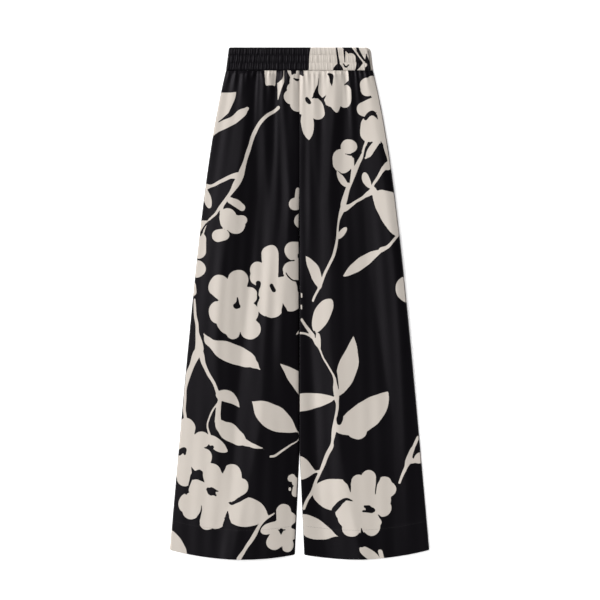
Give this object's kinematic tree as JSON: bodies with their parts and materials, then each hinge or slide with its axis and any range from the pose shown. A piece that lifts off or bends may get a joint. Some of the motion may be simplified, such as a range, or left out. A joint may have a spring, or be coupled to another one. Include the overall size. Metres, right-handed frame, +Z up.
{
  "type": "palazzo pants",
  "caption": "Wide-leg palazzo pants laid flat, with a gathered elastic waistband in stitched channels over long flared legs.",
  "frame": {"origin": "under the middle of the garment, on the surface that it lies on", "axes": "+X to the wearer's left, +Y towards the waist, +Z up, away from the surface"},
  "size_m": [0.5326, 1.05, 0.0084],
  "materials": {
    "leg_silk": "black satin with a large cream flower and leaf print",
    "band_silk": "the same printed satin, gathered over elastic"
  },
  "bodies": {
    "root": {"leg_back_right": "leg_silk", "leg_back_left": "leg_silk", "leg_front_right": "leg_silk", "leg_front_left": "leg_silk", "waistband_back": "band_silk", "waistband_front": "band_silk"}
  },
  "joints": []
}
